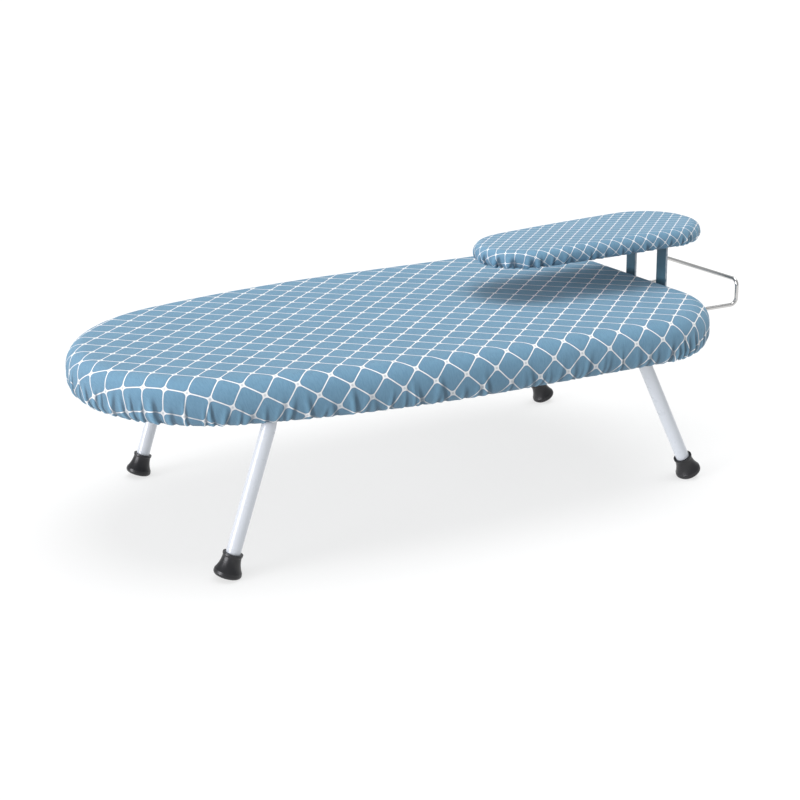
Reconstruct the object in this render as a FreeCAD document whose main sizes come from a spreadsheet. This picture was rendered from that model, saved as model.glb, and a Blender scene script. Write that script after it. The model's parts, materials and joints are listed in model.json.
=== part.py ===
"""Tabletop ironing board with folding legs, a lift-off sleeve board and a pull-out iron rest.

Millimetres. +Z is up, the feet stand on z = 0 and the origin is the bottom centre of the whole
object's box. +X runs from the nose to the tail. "Left" is the +Y side. Sizes along X in the sheet
are measured from the middle of the board itself.
"""
import FreeCAD, Part
import math
import os

import Sketcher
from FreeCAD import Placement, Rotation, Vector

SIZES = [
    # overall
    ("rest_reach", 76.8, "iron rest beyond the tail edge, pulled out"),
    # plan of the main board, over the cover
    ("board_nose", -305, "nose of the board"),
    ("board_tail", 305, "tail edge of the board"),
    ("board_half", 180, "half the board's width"),
    ("board_side_radius", 860, "long curve of each side"),
    ("board_taper_end", 41, "where the sides become parallel"),
    ("board_corner", 100, "tail corner radius"),
    # levels of the main board
    ("cover_bottom", 137, "underside of the cover's turned-in lip"),
    ("cover_top", 176, "ironing surface"),
    ("rim_bottom", 143, "lower edge of the deck rim"),
    ("rim_top", 168, "top of the deck rim"),
    ("panel_top", 167, "top of the perforated panel"),
    ("panel_gauge", 0.8, "panel sheet thickness"),
    ("pad_top", 173.7, "top of the felt pad"),
    # insets from the cover's edge
    ("cover_inset", 0, "outer face of the cover"),
    ("cover_gauge", 2, "cover thickness"),
    ("cover_lip", 6, "inner edge of the cover's lip"),
    ("cord_outer", 6.3, "outer side of the draw cord"),
    ("cord_inner", 9.3, "inner side of the draw cord"),
    ("rim_inset", 3.3, "outer face of the rim"),
    ("rim_inner", 4.3, "inner face of the rim"),
    ("rim_mouth", 24, "inner edge of the rim's top flange"),
    ("panel_inset", 17.6, "edge of the perforated panel"),
    ("pad_inset", 18.5, "edge of the felt pad"),
    # edge rounding of the main board
    ("cover_shoulder", 18, "top edge radius of the cover"),
    ("cover_void_shoulder", 16, "the same, inside"),
    ("cover_hem_radius", 10, "bottom edge radius of the cover"),
    ("cover_void_hem", 8, "the same, inside"),
    ("rim_shoulder", 14, "top edge radius of the rim"),
    ("rim_void_shoulder", 13, "the same, inside"),
    ("pad_edge", 2, "top edge radius of the pad"),
    ("draw_cord_bottom", 137.4, "underside of the draw cord"),
    ("draw_cord_top", 140.4, "top of the draw cord"),
    # perforations
    ("hole_radius", 4.5, "perforation radius"),
    ("hole_pitch", 22, "perforation spacing"),
    ("hole_first", -154, "first perforation of the wide grid"),
    ("nose_hole_first", -242, "first perforation of the nose grid"),
    # leg frames
    ("tube_radius", 6.5, "leg tube outside radius"),
    ("tube_bore", 5.5, "leg tube inside radius"),
    ("leg_bend", 25, "bend radius of the leg tube, on its centre line"),
    ("leg_half_span", 138, "each leg from the centre line"),
    ("pivot_z", 150, "height of both leg pivots"),
    ("front_pivot_x", -165, "front leg pivot"),
    ("rear_pivot_x", 200, "rear leg pivot"),
    ("front_splay", 19.7, "front legs lean towards the nose, degrees"),
    ("rear_splay", 25.5, "rear legs lean towards the tail, degrees"),
    ("front_leg_length", 157.6, "front pivot to foot base"),
    ("rear_leg_length", 163.3, "rear pivot to foot base"),
    ("foot_height", 22, "rubber foot height"),
    ("foot_base_radius", 12.5, "rubber foot base radius"),
    ("foot_lip_radius", 9, "rubber foot radius at its lip"),
    ("foot_floor", 6, "rubber under the tube's end"),
    ("foot_lip_height", 1.6, "height of the foot's lip"),
    ("foot_neck", 3, "from the top of the foot to its neck, under the lip"),
    ("foot_neck_depth", 0.6, "how far the neck lies inside the lip"),
    ("foot_swell_height", 11.4, "height of the point where the foot swells out"),
    ("foot_swell", 1.3, "how far it has swelled there, beyond the neck"),
    ("foot_toe", 4, "height where the rounded heel starts"),
    ("foot_toe_land", 2, "height of the land above the heel"),
    ("foot_toe_taper", 0.3, "taper of that land"),
    ("foot_heel", 3, "width of the rounded heel"),
    ("foot_dome", 0.7, "height of the heel's inner edge"),
    ("bore_gap", 0.15, "gap between the tube and the foot's socket"),
    # leg channels, saddles and stops
    ("channel_half_web", 20, "half the channel's web"),
    ("channel_half_flange", 28, "half the channel's width over its flanges"),
    ("channel_gauge", 1.2, "channel sheet thickness"),
    ("channel_half_length", 114, "half the channel's length"),
    ("channel_drop", 7.5, "channel underside above the pivot line"),
    ("saddle_y", 100, "each saddle from the centre line"),
    ("saddle_bore", 6.58, "saddle bearing radius"),
    ("saddle_gauge", 1.5, "saddle strip thickness"),
    ("saddle_width", 14, "saddle strip width"),
    ("saddle_half_flange", 18, "half the saddle's length over its flanges"),
    ("rivet_offset", 13, "each rivet from the pivot line"),
    ("rivet_radius", 2, "rivet shank radius"),
    ("rivet_head", 3.5, "rivet head radius"),
    ("rivet_head_height", 1.2, "rivet head height"),
    ("stop_length", 18, "stop plate from the pivot line"),
    ("stop_half_width", 22, "half the stop plate's width"),
    ("stop_top", 7.4, "stop plate's face above the pivot line"),
    ("stop_gauge", 3, "stop plate thickness"),
    # clips that hold the folded legs
    ("front_clip_x", -80, "front leg clips"),
    ("rear_clip_x", 112, "rear leg clips"),
    ("clip_length", 20, "clip length along the leg"),
    ("clip_half_width", 11, "half the clip's width"),
    ("clip_half_slot", 6.8, "half the clip's slot"),
    ("clip_bottom", 145.5, "lower edge of the clip's jaws"),
    ("clip_slot_top", 157, "roof of the clip's slot"),
    ("clip_half_flange", 20, "half the clip's length over its flanges"),
    ("clip_flange", 2.5, "clip flange thickness"),
    ("clip_screw_x", 15, "each clip screw from the clip's middle"),
    ("screw_radius", 1.6, "small screw shank radius"),
    ("screw_head", 3, "small screw head radius"),
    ("screw_head_height", 1.6, "small screw head height"),
    # iron rest
    ("rest_wire", 2, "iron rest wire radius"),
    ("rest_half_span", 62.5, "each arm from the centre line"),
    ("rest_arm_z", 145.7, "height of the arms"),
    ("rest_bar_z", 171.8, "height of the end bar"),
    ("rest_bar_x", 379.8, "end bar, pulled out"),
    ("rest_hook_x", 261.2, "turned-out inner ends, pulled out"),
    ("rest_hook_length", 9, "length of the turned-out ends"),
    ("rest_bend", 7, "bend radius of the end bar's corners"),
    ("rest_hook_bend", 3.5, "bend radius of the turned-out ends"),
    ("guide_front", 265, "guide block, end towards the nose"),
    ("guide_length", 25, "guide block length"),
    ("guide_half_block", 7, "half the guide block's width"),
    ("guide_half_flange", 17, "half the guide's width over its flanges"),
    ("guide_flange", 2.5, "guide flange thickness"),
    ("guide_bottom", 140.7, "underside of the guide block"),
    ("guide_bore", 2.1, "guide bore radius"),
    ("guide_screw_y", 12, "each guide screw from the arm"),
    ("rim_slot", 3.2, "radius of the notch for each arm in the rim"),
    ("cover_slot", 4, "hole radius for the arms through the cover"),
    # sleeve board mounting
    ("strap_y", 27, "each strap from the centre line"),
    ("strap_width", 16, "strap width"),
    ("strap_gauge", 2.5, "strap thickness"),
    ("strap_edge", 0.5, "rounding of the strap's edges"),
    ("strap_x", 309.55, "middle of the straps' thickness"),
    ("strap_foot", 136, "bottom of the straps"),
    ("strap_bend", 4.25, "strap bend radius on its centre line"),
    ("strap_flange", 52, "strap flange under the sleeve board"),
    ("socket_wall", 1.8, "socket wall"),
    ("socket_corner", 1.5, "rounding of the socket's upright corners"),
    ("socket_gap", 0.2, "gap between a strap and its socket"),
    ("socket_top", 160, "top of the sockets"),
    ("socket_foot_gauge", 2, "thickness of the socket's foot plate"),
    ("socket_foot_front", 252, "foot plate, end towards the nose"),
    ("bracket_front", 250, "tail bracket web, end towards the nose"),
    ("bracket_back", 280, "tail bracket web, end towards the tail"),
    ("bracket_flange", 8, "tail bracket flange"),
    ("bracket_gauge", 1.5, "tail bracket sheet thickness"),
    ("bracket_half_length", 45, "half the tail bracket's length"),
    ("bolt_first_x", 258, "first socket bolt"),
    ("bolt_second_x", 272, "second socket bolt"),
    ("bolt_radius", 2, "socket bolt shank radius"),
    ("bolt_head", 3.6, "socket bolt head radius"),
    ("bolt_head_height", 2.4, "socket bolt head height"),
    ("nut_height", 3.2, "socket nut height"),
    ("thread_gap", 0.02, "gap between a nut's bore and its bolt"),
    ("hole_gap", 0.15, "gap round a fastener's shank"),
    # sleeve board: its own frame starts under its deck, above the straps
    ("sleeve_x", 310, "sleeve board frame"),
    ("sleeve_z", 224.4, "underside of the sleeve deck there"),
    ("sleeve_droop", 1.7, "nose of the sleeve board hangs down, degrees"),
    ("sleeve_nose", -202, "nose of the sleeve board"),
    ("sleeve_tail", 50, "tail of the sleeve board"),
    ("sleeve_half", 60, "half the sleeve board's width"),
    ("sleeve_side_radius", 1400, "long curve of each side"),
    ("sleeve_taper_end", -10, "where its sides become parallel"),
    ("sleeve_corner", 56, "its tail corner radius"),
    ("sleeve_cover_bottom", -9.8, "underside of its cover"),
    ("sleeve_cover_top", 7.2, "top of its cover"),
    ("sleeve_rim_bottom", -5, "lower edge of its deck"),
    ("sleeve_deck_top", 1.2, "top of its deck"),
    ("sleeve_deck_wall", 4.5, "inner face of its deck's skirt"),
    ("sleeve_pad_top", 5, "top of its pad"),
    ("sleeve_pad_inset", 9.5, "edge of its pad"),
    ("sleeve_shoulder", 9, "top edge radius of its cover"),
    ("sleeve_void_shoulder", 7, "the same, inside"),
    ("sleeve_hem_radius", 6, "bottom edge radius of its cover"),
    ("sleeve_void_hem", 4, "the same, inside"),
    ("sleeve_deck_shoulder", 5, "top edge radius of its deck"),
    ("sleeve_deck_void_shoulder", 3.8, "the same, inside"),
    ("sleeve_cord_bottom", -10.2, "underside of its draw cord"),
    ("sleeve_cord_top", -7.2, "top of its draw cord"),
    ("sleeve_screw_first", -14, "first screw in each strap flange"),
    ("sleeve_screw_second", -40, "second screw in each strap flange"),
]

LEFT, RIGHT = 1, -1
SIDES = [("left", LEFT), ("right", RIGHT)]
REACH = 60.0        # how far a cutting tool runs past the sheet that it cuts

doc = FreeCAD.newDocument("tabletop_ironing_board")
sheet = doc.addObject("Spreadsheet::Sheet", "sizes")
for row, (alias, number, note) in enumerate(SIZES, start=1):
    sheet.set(f"A{row}", note)
    sheet.set(f"B{row}", str(number))
    sheet.setAlias(f"B{row}", alias)
doc.recompute()

nodes = []          # the objects that are written as sub-parts


def size(alias):
    """A size from the sheet, as a number."""
    return float(sheet.get(alias))


# ---------------------------------------------------------------- frames

BOARD = ("0", "0", "0", 0.0)
SLEEVE = ("sizes.sleeve_x", "0", "sizes.sleeve_z", -size("sleeve_droop"))
FRONT_LEGS = ("sizes.front_pivot_x", "0", "sizes.pivot_z", size("front_splay"))
REAR_LEGS = ("sizes.rear_pivot_x", "0", "sizes.pivot_z", -size("rear_splay"))


def place(obj, frame):
    """Put an object in a frame: x, y, z as expressions, then a turn about Y in degrees."""
    x, y, z, turn = frame
    obj.Placement = Placement(Vector(0, 0, 0), Rotation(Vector(0, 1, 0), turn))
    obj.setExpression("Placement.Base.x", f"{x} - sizes.rest_reach / 2")
    obj.setExpression("Placement.Base.y", y)
    obj.setExpression("Placement.Base.z", z)


def node(obj, label, frame=None):
    """Name an object as a sub-part and put it in its frame."""
    obj.Label = label
    if frame is not None:
        place(obj, frame)
    nodes.append(obj)
    return obj


def foot_frame(end, side):
    """The middle of a rubber foot's base, on the leg's own axis."""
    lean = 1 if end == "front" else -1
    along = f"sizes.{end}_leg_length * sin(sizes.{end}_splay * 1 deg)"
    down = f"sizes.{end}_leg_length * cos(sizes.{end}_splay * 1 deg)"
    x = f"sizes.{end}_pivot_x {'-' if end == 'front' else '+'} {along}"
    return (x, f"{side} * sizes.leg_half_span", f"sizes.pivot_z - {down}", lean * size(f"{end}_splay"))


# ---------------------------------------------------------------- sketches

def origin_plane(body, role):
    return next(f for f in body.Origin.OriginFeatures if f.Role == role)


def new_body(name):
    return doc.addObject("PartDesign::Body", name)


def new_sketch(body, role, level=None):
    """A sketch on one of the body's own planes, raised to a level from the sheet."""
    sketch = body.newObject("Sketcher::SketchObject", body.Name + "_sketch")
    sketch.AttachmentSupport = [(origin_plane(body, role), "")]
    sketch.MapMode = "FlatFace"
    if level is not None:
        sketch.setExpression("AttachmentOffset.Base.z", level)
    return sketch


def arc(x, y, radius, start, end):
    circle = Part.Circle(Vector(x, y, 0), Vector(0, 0, 1), radius)
    return Part.ArcOfCircle(circle, start, end)


def line(x0, y0, x1, y1):
    return Part.LineSegment(Vector(x0, y0, 0), Vector(x1, y1, 0))


def bind(sketch, expression, *constraint):
    """Add a dimension to a sketch and tie it to the sheet."""
    index = sketch.addConstraint(Sketcher.Constraint(*constraint))
    sketch.setExpression(f"Constraints[{index}]", expression)


def plan_sketch(body, plan, inset, level):
    """The plan of the board or of the sleeve board, inset from the edge of its cover.

    A nose arc, two long side arcs, two parallel sides, two corner arcs and a straight tail,
    each tangent to the next.
    """
    gap = size(inset)
    half = size(plan + "_half") - gap
    side_r = size(plan + "_side_radius") - gap
    corner = size(plan + "_corner") - gap
    tail = size(plan + "_tail") - gap
    nose = size(plan + "_nose") + gap
    taper = size(plan + "_taper_end")
    span = taper - nose
    nose_r = (2 * side_r * half - half ** 2 - span ** 2) / (2 * (side_r - span))
    nose_x = nose + nose_r
    turn = math.atan2(side_r - half, nose_x - taper)    # from a side arc's centre to the nose arc's

    sketch = new_sketch(body, "XY_Plane", level)
    quarter = math.pi / 2
    sketch.addGeometry([
        arc(nose_x, 0, nose_r, turn, 2 * math.pi - turn),
        arc(taper, side_r - half, side_r, -turn, -quarter),
        line(taper, -half, tail - corner, -half),
        arc(tail - corner, corner - half, corner, -quarter, 0),
        line(tail, corner - half, tail, half - corner),
        arc(tail - corner, half - corner, corner, 0, quarter),
        line(tail - corner, half, taper, half),
        arc(taper, half - side_r, side_r, quarter, turn),
    ], False)
    for index in range(8):
        sketch.addConstraint(Sketcher.Constraint("Tangent", index, 2, (index + 1) % 8, 1))
    for index in (2, 6):
        sketch.addConstraint(Sketcher.Constraint("Horizontal", index))
    sketch.addConstraint(Sketcher.Constraint("Vertical", 4))

    inset_by = f"sizes.{inset}"
    half_size = f"(sizes.{plan}_half - {inset_by})"
    side_size = f"(sizes.{plan}_side_radius - {inset_by})"
    span_size = f"(sizes.{plan}_taper_end - sizes.{plan}_nose - {inset_by})"
    bind(sketch, half_size, "DistanceY", -1, 1, 6, 1, half)
    bind(sketch, half_size, "DistanceY", 2, 1, -1, 1, half)
    for index in (1, 7):
        bind(sketch, side_size, "Radius", index, side_r)
    for index in (3, 5):
        bind(sketch, f"sizes.{plan}_corner - {inset_by}", "Radius", index, corner)
    bind(sketch, f"sizes.{plan}_taper_end", "DistanceX", -1, 1, 6, 2, taper)
    bind(sketch, f"sizes.{plan}_taper_end", "DistanceX", -1, 1, 2, 1, taper)
    bind(sketch, f"sizes.{plan}_tail - {inset_by}", "DistanceX", -1, 1, 4, 1, tail)
    nose_size = (f"(2 * {side_size} * {half_size} - {half_size} ^ 2 - {span_size} ^ 2)"
                 f" / (2 * ({side_size} - {span_size}))")
    bind(sketch, nose_size, "Radius", 0, nose_r)
    return sketch


def polygon_sketch(body, role, points, level=None):
    """A closed outline of straight lines, locked where it is drawn."""
    sketch = new_sketch(body, role, level)
    count = len(points)
    for index, (x, y) in enumerate(points):
        after = points[(index + 1) % count]
        sketch.addGeometry(line(x, y, after[0], after[1]), False)
    for index in range(count):
        sketch.addConstraint(Sketcher.Constraint("Coincident", index, 2, (index + 1) % count, 1))
        sketch.addConstraint(Sketcher.Constraint("Block", index))
    return sketch


# ---------------------------------------------------------------- features

def pad(body, sketch, length, centred=False):
    feature = body.newObject("PartDesign::Pad", body.Name + "_pad")
    feature.Profile = sketch
    feature.Midplane = centred
    feature.setExpression("Length", length)
    doc.recompute()
    return feature


def round_edges(body, base, level, radius, axis="Z"):
    """Fillet every edge that lies at one level of a pad."""
    names = []
    for index, edge in enumerate(base.Shape.Edges, start=1):
        ends = [getattr(edge.BoundBox, axis + which) for which in ("Min", "Max")]
        if all(abs(end - level) < 1e-4 for end in ends):
            names.append(f"Edge{index}")
    feature = body.newObject("PartDesign::Fillet", body.Name + "_round")
    feature.Base = (base, names)
    feature.setExpression("Radius", radius)
    doc.recompute()
    return feature


def slab(name, plan, inset, bottom, top, top_round=None, bottom_round=None):
    """A flat solid on one of the two plans, with rounded edges where radii are named."""
    body = new_body(name)
    sketch = plan_sketch(body, plan, inset, f"sizes.{bottom}")
    last = pad(body, sketch, f"sizes.{top} - sizes.{bottom}")
    if bottom_round:
        last = round_edges(body, last, size(bottom), f"sizes.{bottom_round}")
    if top_round:
        last = round_edges(body, last, size(top), f"sizes.{top_round}")
    return body


def cut(label, base, tools, frame):
    """A base solid less its tools, as a sub-part."""
    joined = tools[0]
    if len(tools) > 1:
        joined = doc.addObject("Part::MultiFuse", label + "_tools")
        joined.Shapes = tools
    result = doc.addObject("Part::Cut", label)
    result.Base = base
    result.Tool = joined
    return node(result, label, frame)


def round_uprights(name, box, radius):
    """A box with its four upright edges rounded."""
    doc.recompute()
    result = doc.addObject("Part::Fillet", name)
    result.Base = box
    upright = [index for index, edge in enumerate(box.Shape.Edges, start=1)
               if edge.BoundBox.ZLength > max(edge.BoundBox.XLength, edge.BoundBox.YLength)]
    result.Edges = [(index, size(radius), size(radius)) for index in upright]
    return result


def round_bar(name, radius, length, x, y, z, axis=Vector(0, 0, 1)):
    """A cylinder whose radius comes from the sheet."""
    bar = doc.addObject("Part::Cylinder", name)
    bar.setExpression("Radius", f"sizes.{radius}")
    bar.Height = length
    bar.Placement = Placement(Vector(x, y, z), Rotation(Vector(0, 0, 1), axis))
    return bar


def block(name, low, high):
    """A box between two corners."""
    box = doc.addObject("Part::Box", name)
    box.Length, box.Width, box.Height = [high[i] - low[i] for i in range(3)]
    box.Placement = Placement(Vector(*low), Rotation())
    return box


def drill(body, radius, points):
    """Round holes right through a body, along its own Z."""
    sketch = new_sketch(body, "XY_Plane")
    hole = size(radius) + size("hole_gap")
    for index, (x, y) in enumerate(points):
        sketch.addGeometry(Part.Circle(Vector(x, y, 0), Vector(0, 0, 1), hole), False)
        bind(sketch, f"sizes.{radius} + sizes.hole_gap", "Radius", index, hole)
    feature = body.newObject("PartDesign::Pocket", body.Name + "_drill")
    feature.Profile = sketch
    feature.Type = 1
    feature.Midplane = True
    doc.recompute()
    return feature


def fasteners(label, places, shank, head, head_height, grip, frame, tail_head=False):
    """Identical rivets or screws as one group: a shank up from a head, and a tail head on rivets.

    places are the middles of the faces that the heads lie against, and grip is the sheet held.
    """
    pieces = []
    for index, (x, y, z) in enumerate(places):
        name = f"{label}_{index}"
        parts = [
            round_bar(name + "_head", head, size(head_height), x, y, z - size(head_height)),
            round_bar(name + "_shank", shank, grip, x, y, z),
        ]
        if tail_head:
            parts.append(round_bar(name + "_tail", head, size(head_height), x, y, z + grip))
        one = doc.addObject("Part::MultiFuse", name)
        one.Shapes = parts
        pieces.append(one)
    group = doc.addObject("Part::Compound", label)
    group.Links = pieces
    return node(group, label, frame)


# ---------------------------------------------------------------- board covering and deck

def arm_holes(name, radius):
    """Two round cutters along X through the tail wall, for the arms of the iron rest."""
    start = size("board_tail") - REACH / 4
    return [round_bar(f"{name}_{tag}", radius, REACH / 2, start, side * size("rest_half_span"),
                      size("rest_arm_z"), Vector(1, 0, 0)) for tag, side in SIDES]


def board_cover():
    skin = slab("cover_skin", "board", "cover_inset", "cover_bottom", "cover_top",
                "cover_shoulder", "cover_hem_radius")
    room = new_body("cover_room")
    sketch = plan_sketch(room, "board", "cover_gauge", "sizes.cover_bottom + sizes.cover_gauge")
    last = pad(room, sketch, "sizes.cover_top - sizes.cover_bottom - 2 * sizes.cover_gauge")
    last = round_edges(room, last, size("cover_bottom") + size("cover_gauge"), "sizes.cover_void_hem")
    round_edges(room, last, size("cover_top") - size("cover_gauge"), "sizes.cover_void_shoulder")
    mouth = new_body("cover_mouth")
    sketch = plan_sketch(mouth, "board", "cover_lip", "sizes.cover_bottom - sizes.cover_gauge")
    pad(mouth, sketch, "3 * sizes.cover_gauge")
    cut("board_cover", skin, [room, mouth] + arm_holes("cover_slot_cutter", "cover_slot"), BOARD)


def draw_cord(label, plan, bottom, top, frame):
    """The cord that gathers the cover's edge, lying just inside the lip."""
    ring = slab(label + "_outer", plan, "cord_outer", bottom, top)
    inside = slab(label + "_inner", plan, "cord_inner", bottom, top)
    cut(label, ring, [inside], frame)


def board_pad():
    node(slab("board_pad", "board", "pad_inset", "rim_top", "pad_top", "pad_edge"), "board_pad", BOARD)


def deck_rim():
    shell = slab("rim_shell", "board", "rim_inset", "rim_bottom", "rim_top", "rim_shoulder")
    room = slab("rim_room", "board", "rim_inner", "rim_bottom", "panel_top", "rim_void_shoulder")
    mouth = slab("rim_mouth_cutter", "board", "rim_mouth", "rim_bottom", "cover_top")
    cut("deck_rim", shell, [room, mouth] + arm_holes("rim_slot_cutter", "rim_slot"), BOARD)


def deck_panel():
    """The sheet under the pad, with steam holes in a square grid and a smaller grid at the nose."""
    body = new_body("deck_panel")
    sketch = plan_sketch(body, "board", "panel_inset", "sizes.panel_top - sizes.panel_gauge")
    pad(body, sketch, "sizes.panel_gauge")
    pitch = size("hole_pitch")
    grids = [("hole_first", 20, 12), ("nose_hole_first", 4, 7)]     # first hole, columns and rows
    for first, columns, rows in grids:
        first_x, first_y = size(first), -pitch * (rows - 1) / 2
        sketch = new_sketch(body, "XY_Plane")
        circle = Part.Circle(Vector(first_x, first_y, 0), Vector(0, 0, 1), size("hole_radius"))
        sketch.addGeometry(circle, False)
        bind(sketch, "sizes.hole_radius", "Radius", 0, size("hole_radius"))
        hole = body.newObject("PartDesign::Pocket", "steam_hole")
        hole.Profile = sketch
        hole.Type = 1
        hole.Midplane = True
        doc.recompute()
        grid = body.newObject("PartDesign::MultiTransform", "steam_holes")
        grid.Originals = [hole]
        runs = []
        for axis, count in (("H_Axis", columns), ("V_Axis", rows)):
            run = body.newObject("PartDesign::LinearPattern", "steam_run")
            run.Direction = (sketch, [axis])
            run.Occurrences = count
            run.setExpression("Length", f"sizes.hole_pitch * {count - 1}")
            runs.append(run)
        grid.Transformations = runs
        body.Tip = grid
        doc.recompute()
    node(body, "deck_panel", BOARD)


# ---------------------------------------------------------------- leg mountings on the deck

def leg_channel(end):
    """A shallow hat section across the deck. Its web faces down and carries the saddles."""
    web, flange = size("channel_half_web"), size("channel_half_flange")
    gauge, low = size("channel_gauge"), size("channel_drop")
    high = size("panel_top") - size("panel_gauge") - size("pivot_z")
    body = new_body(end + "_channel")
    sketch = polygon_sketch(body, "XZ_Plane", [
        (-web, low), (web, low), (web, high - gauge), (flange, high - gauge), (flange, high),
        (web - gauge, high), (web - gauge, low + gauge), (gauge - web, low + gauge),
        (gauge - web, high), (-flange, high), (-flange, high - gauge), (-web, high - gauge)])
    pad(body, sketch, "2 * sizes.channel_half_length", centred=True)
    drill(body, "rivet_radius", rivet_points())
    node(body, end + "_channel", (f"sizes.{end}_pivot_x", "0", "sizes.pivot_z", 0.0))


def rivet_points():
    offset, across = size("rivet_offset"), size("saddle_y")
    return [(x, side * across) for x in (-offset, offset) for _, side in SIDES]


def saddle(end, tag, side):
    """A strip bent under the leg frame's cross bar, with a flange on each side."""
    bore, outer = size("saddle_bore"), size("saddle_bore") + size("saddle_gauge")
    reach, top = size("saddle_half_flange"), size("channel_drop")
    under = top - size("saddle_gauge")
    name = f"{end}_saddle_{tag}"
    body = new_body(name)
    sketch = new_sketch(body, "XZ_Plane")
    sketch.addGeometry([
        line(-reach, top, -reach, under), line(-reach, under, -outer, under),
        line(-outer, under, -outer, 0), arc(0, 0, outer, math.pi, 2 * math.pi),
        line(outer, 0, outer, under), line(outer, under, reach, under),
        line(reach, under, reach, top), line(reach, top, bore, top),
        line(bore, top, bore, 0), arc(0, 0, bore, math.pi, 2 * math.pi),
        line(-bore, 0, -bore, top), line(-bore, top, -reach, top),
    ], False)
    joints = [(0, 2, 1, 1), (1, 2, 2, 1), (2, 2, 3, 1), (3, 2, 4, 1), (4, 2, 5, 1), (5, 2, 6, 1),
              (6, 2, 7, 1), (7, 2, 8, 1), (8, 2, 9, 2), (9, 1, 10, 1), (10, 2, 11, 1), (11, 2, 0, 1)]
    for first, first_end, second, second_end in joints:
        sketch.addConstraint(Sketcher.Constraint("Coincident", first, first_end, second, second_end))
    bind(sketch, "sizes.saddle_bore", "Radius", 9, bore)
    bind(sketch, "sizes.saddle_bore + sizes.saddle_gauge", "Radius", 3, outer)
    pad(body, sketch, "sizes.saddle_width", centred=True)
    offset = size("rivet_offset")
    drill(body, "rivet_radius", [(-offset, 0), (offset, 0)])
    node(body, name, (f"sizes.{end}_pivot_x", f"{side} * sizes.saddle_y", "sizes.pivot_z", 0.0))


def saddle_rivets():
    under = size("pivot_z") + size("channel_drop") - size("saddle_gauge")
    places = [(size(end + "_pivot_x") + x, y, under) for end in ("front", "rear")
              for x, y in rivet_points()]
    fasteners("saddle_rivets", places, "rivet_radius", "rivet_head", "rivet_head_height",
              size("saddle_gauge") + size("channel_gauge"), BOARD, tail_head=True)


def fold_clip(end, tag, side):
    """A plastic jaw under the deck. The folded leg rises into its slot."""
    half, slot = size("clip_half_width"), size("clip_half_slot")
    low, roof = size("clip_bottom"), size("clip_slot_top")
    high = size("panel_top") - size("panel_gauge")
    name = f"{end}_clip_{tag}"
    body = new_body(name)
    sketch = polygon_sketch(body, "YZ_Plane", [
        (-half, low), (-slot, low), (-slot, roof), (slot, roof), (slot, low), (half, low),
        (half, high), (-half, high)])
    pad(body, sketch, "sizes.clip_length", centred=True)
    under = high - size("clip_flange")
    flange = polygon_sketch(body, "YZ_Plane", [(-half, under), (half, under), (half, high), (-half, high)])
    pad(body, flange, "2 * sizes.clip_half_flange", centred=True)
    offset = size("clip_screw_x")
    drill(body, "screw_radius", [(-offset, 0), (offset, 0)])
    node(body, name, (f"sizes.{end}_clip_x", f"{side} * sizes.leg_half_span", "0", 0.0))


def clip_screws():
    under = size("panel_top") - size("panel_gauge") - size("clip_flange")
    offset = size("clip_screw_x")
    places = [(size(end + "_clip_x") + x, side * size("leg_half_span"), under)
              for end in ("front", "rear") for _, side in SIDES for x in (-offset, offset)]
    fasteners("clip_screws", places, "screw_radius", "screw_head", "screw_head_height",
              size("clip_flange"), BOARD)


# ---------------------------------------------------------------- leg frames

def leg_tube(end, frame):
    """One tube bent into a U: the cross bar turns in the saddles and its ends carry the feet."""
    half, bend = size("leg_half_span"), size("leg_bend")
    length = size(end + "_leg_length") - size("foot_floor")
    body = new_body(end + "_leg_tube")
    path = new_sketch(body, "YZ_Plane")
    quarter = math.pi / 2
    path.addGeometry([
        line(-half, -length, -half, -bend),
        arc(bend - half, -bend, bend, quarter, math.pi),
        line(bend - half, 0, half - bend, 0),
        arc(half - bend, -bend, bend, 0, quarter),
        line(half, -bend, half, -length),
    ], False)
    for first, first_end, second, second_end in [(0, 2, 1, 2), (1, 1, 2, 1), (2, 2, 3, 2), (3, 1, 4, 1)]:
        path.addConstraint(Sketcher.Constraint("Tangent", first, first_end, second, second_end))
    for index in (1, 3):
        bind(path, "sizes.leg_bend", "Radius", index, bend)
    path.addConstraint(Sketcher.Constraint("Horizontal", 2))
    path.addConstraint(Sketcher.Constraint("PointOnObject", 2, 1, -1))
    bind(path, "sizes.leg_half_span", "DistanceX", -1, 1, 4, 1, half)
    bind(path, "sizes.leg_half_span", "DistanceX", 0, 1, -1, 1, half)
    drop = f"sizes.{end}_leg_length - sizes.foot_floor"
    bind(path, drop, "DistanceY", 4, 2, -1, 1, length)
    bind(path, drop, "DistanceY", 0, 1, -1, 1, length)
    section = new_sketch(body, "XY_Plane", f"-({drop})")
    for index, radius in enumerate(("tube_radius", "tube_bore")):
        section.addGeometry(Part.Circle(Vector(0, -half, 0), Vector(0, 0, 1), size(radius)), False)
        bind(section, f"sizes.{radius}", "Radius", index, size(radius))
        bind(section, "sizes.leg_half_span", "DistanceY", index, 3, -1, 1, half)
        section.addConstraint(Sketcher.Constraint("PointOnObject", index, 3, -2))
    sweep = body.newObject("PartDesign::AdditivePipe", end + "_leg_sweep")
    sweep.Profile = section
    sweep.Spine = (path, [f"Edge{index}" for index in range(1, 6)])
    doc.recompute()
    node(body, end + "_leg_tube", frame)


def stop_plate(end, lean):
    """A plate welded on the cross bar. It meets the channel when the legs are fully open."""
    top, length = size("stop_top"), size("stop_length")
    wide = size("stop_half_width")
    low = (min(0, -lean * length), -wide, top - size("stop_gauge"))
    high = (max(0, -lean * length), wide, top)
    plate = block(end + "_stop_blank", low, high)
    bar = round_bar(end + "_stop_seat", "saddle_bore", 2 * wide, 0, -wide, 0, Vector(0, 1, 0))
    cut(end + "_stop_plate", plate, [bar], (f"sizes.{end}_pivot_x", "0", "sizes.pivot_z", 0.0))


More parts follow.
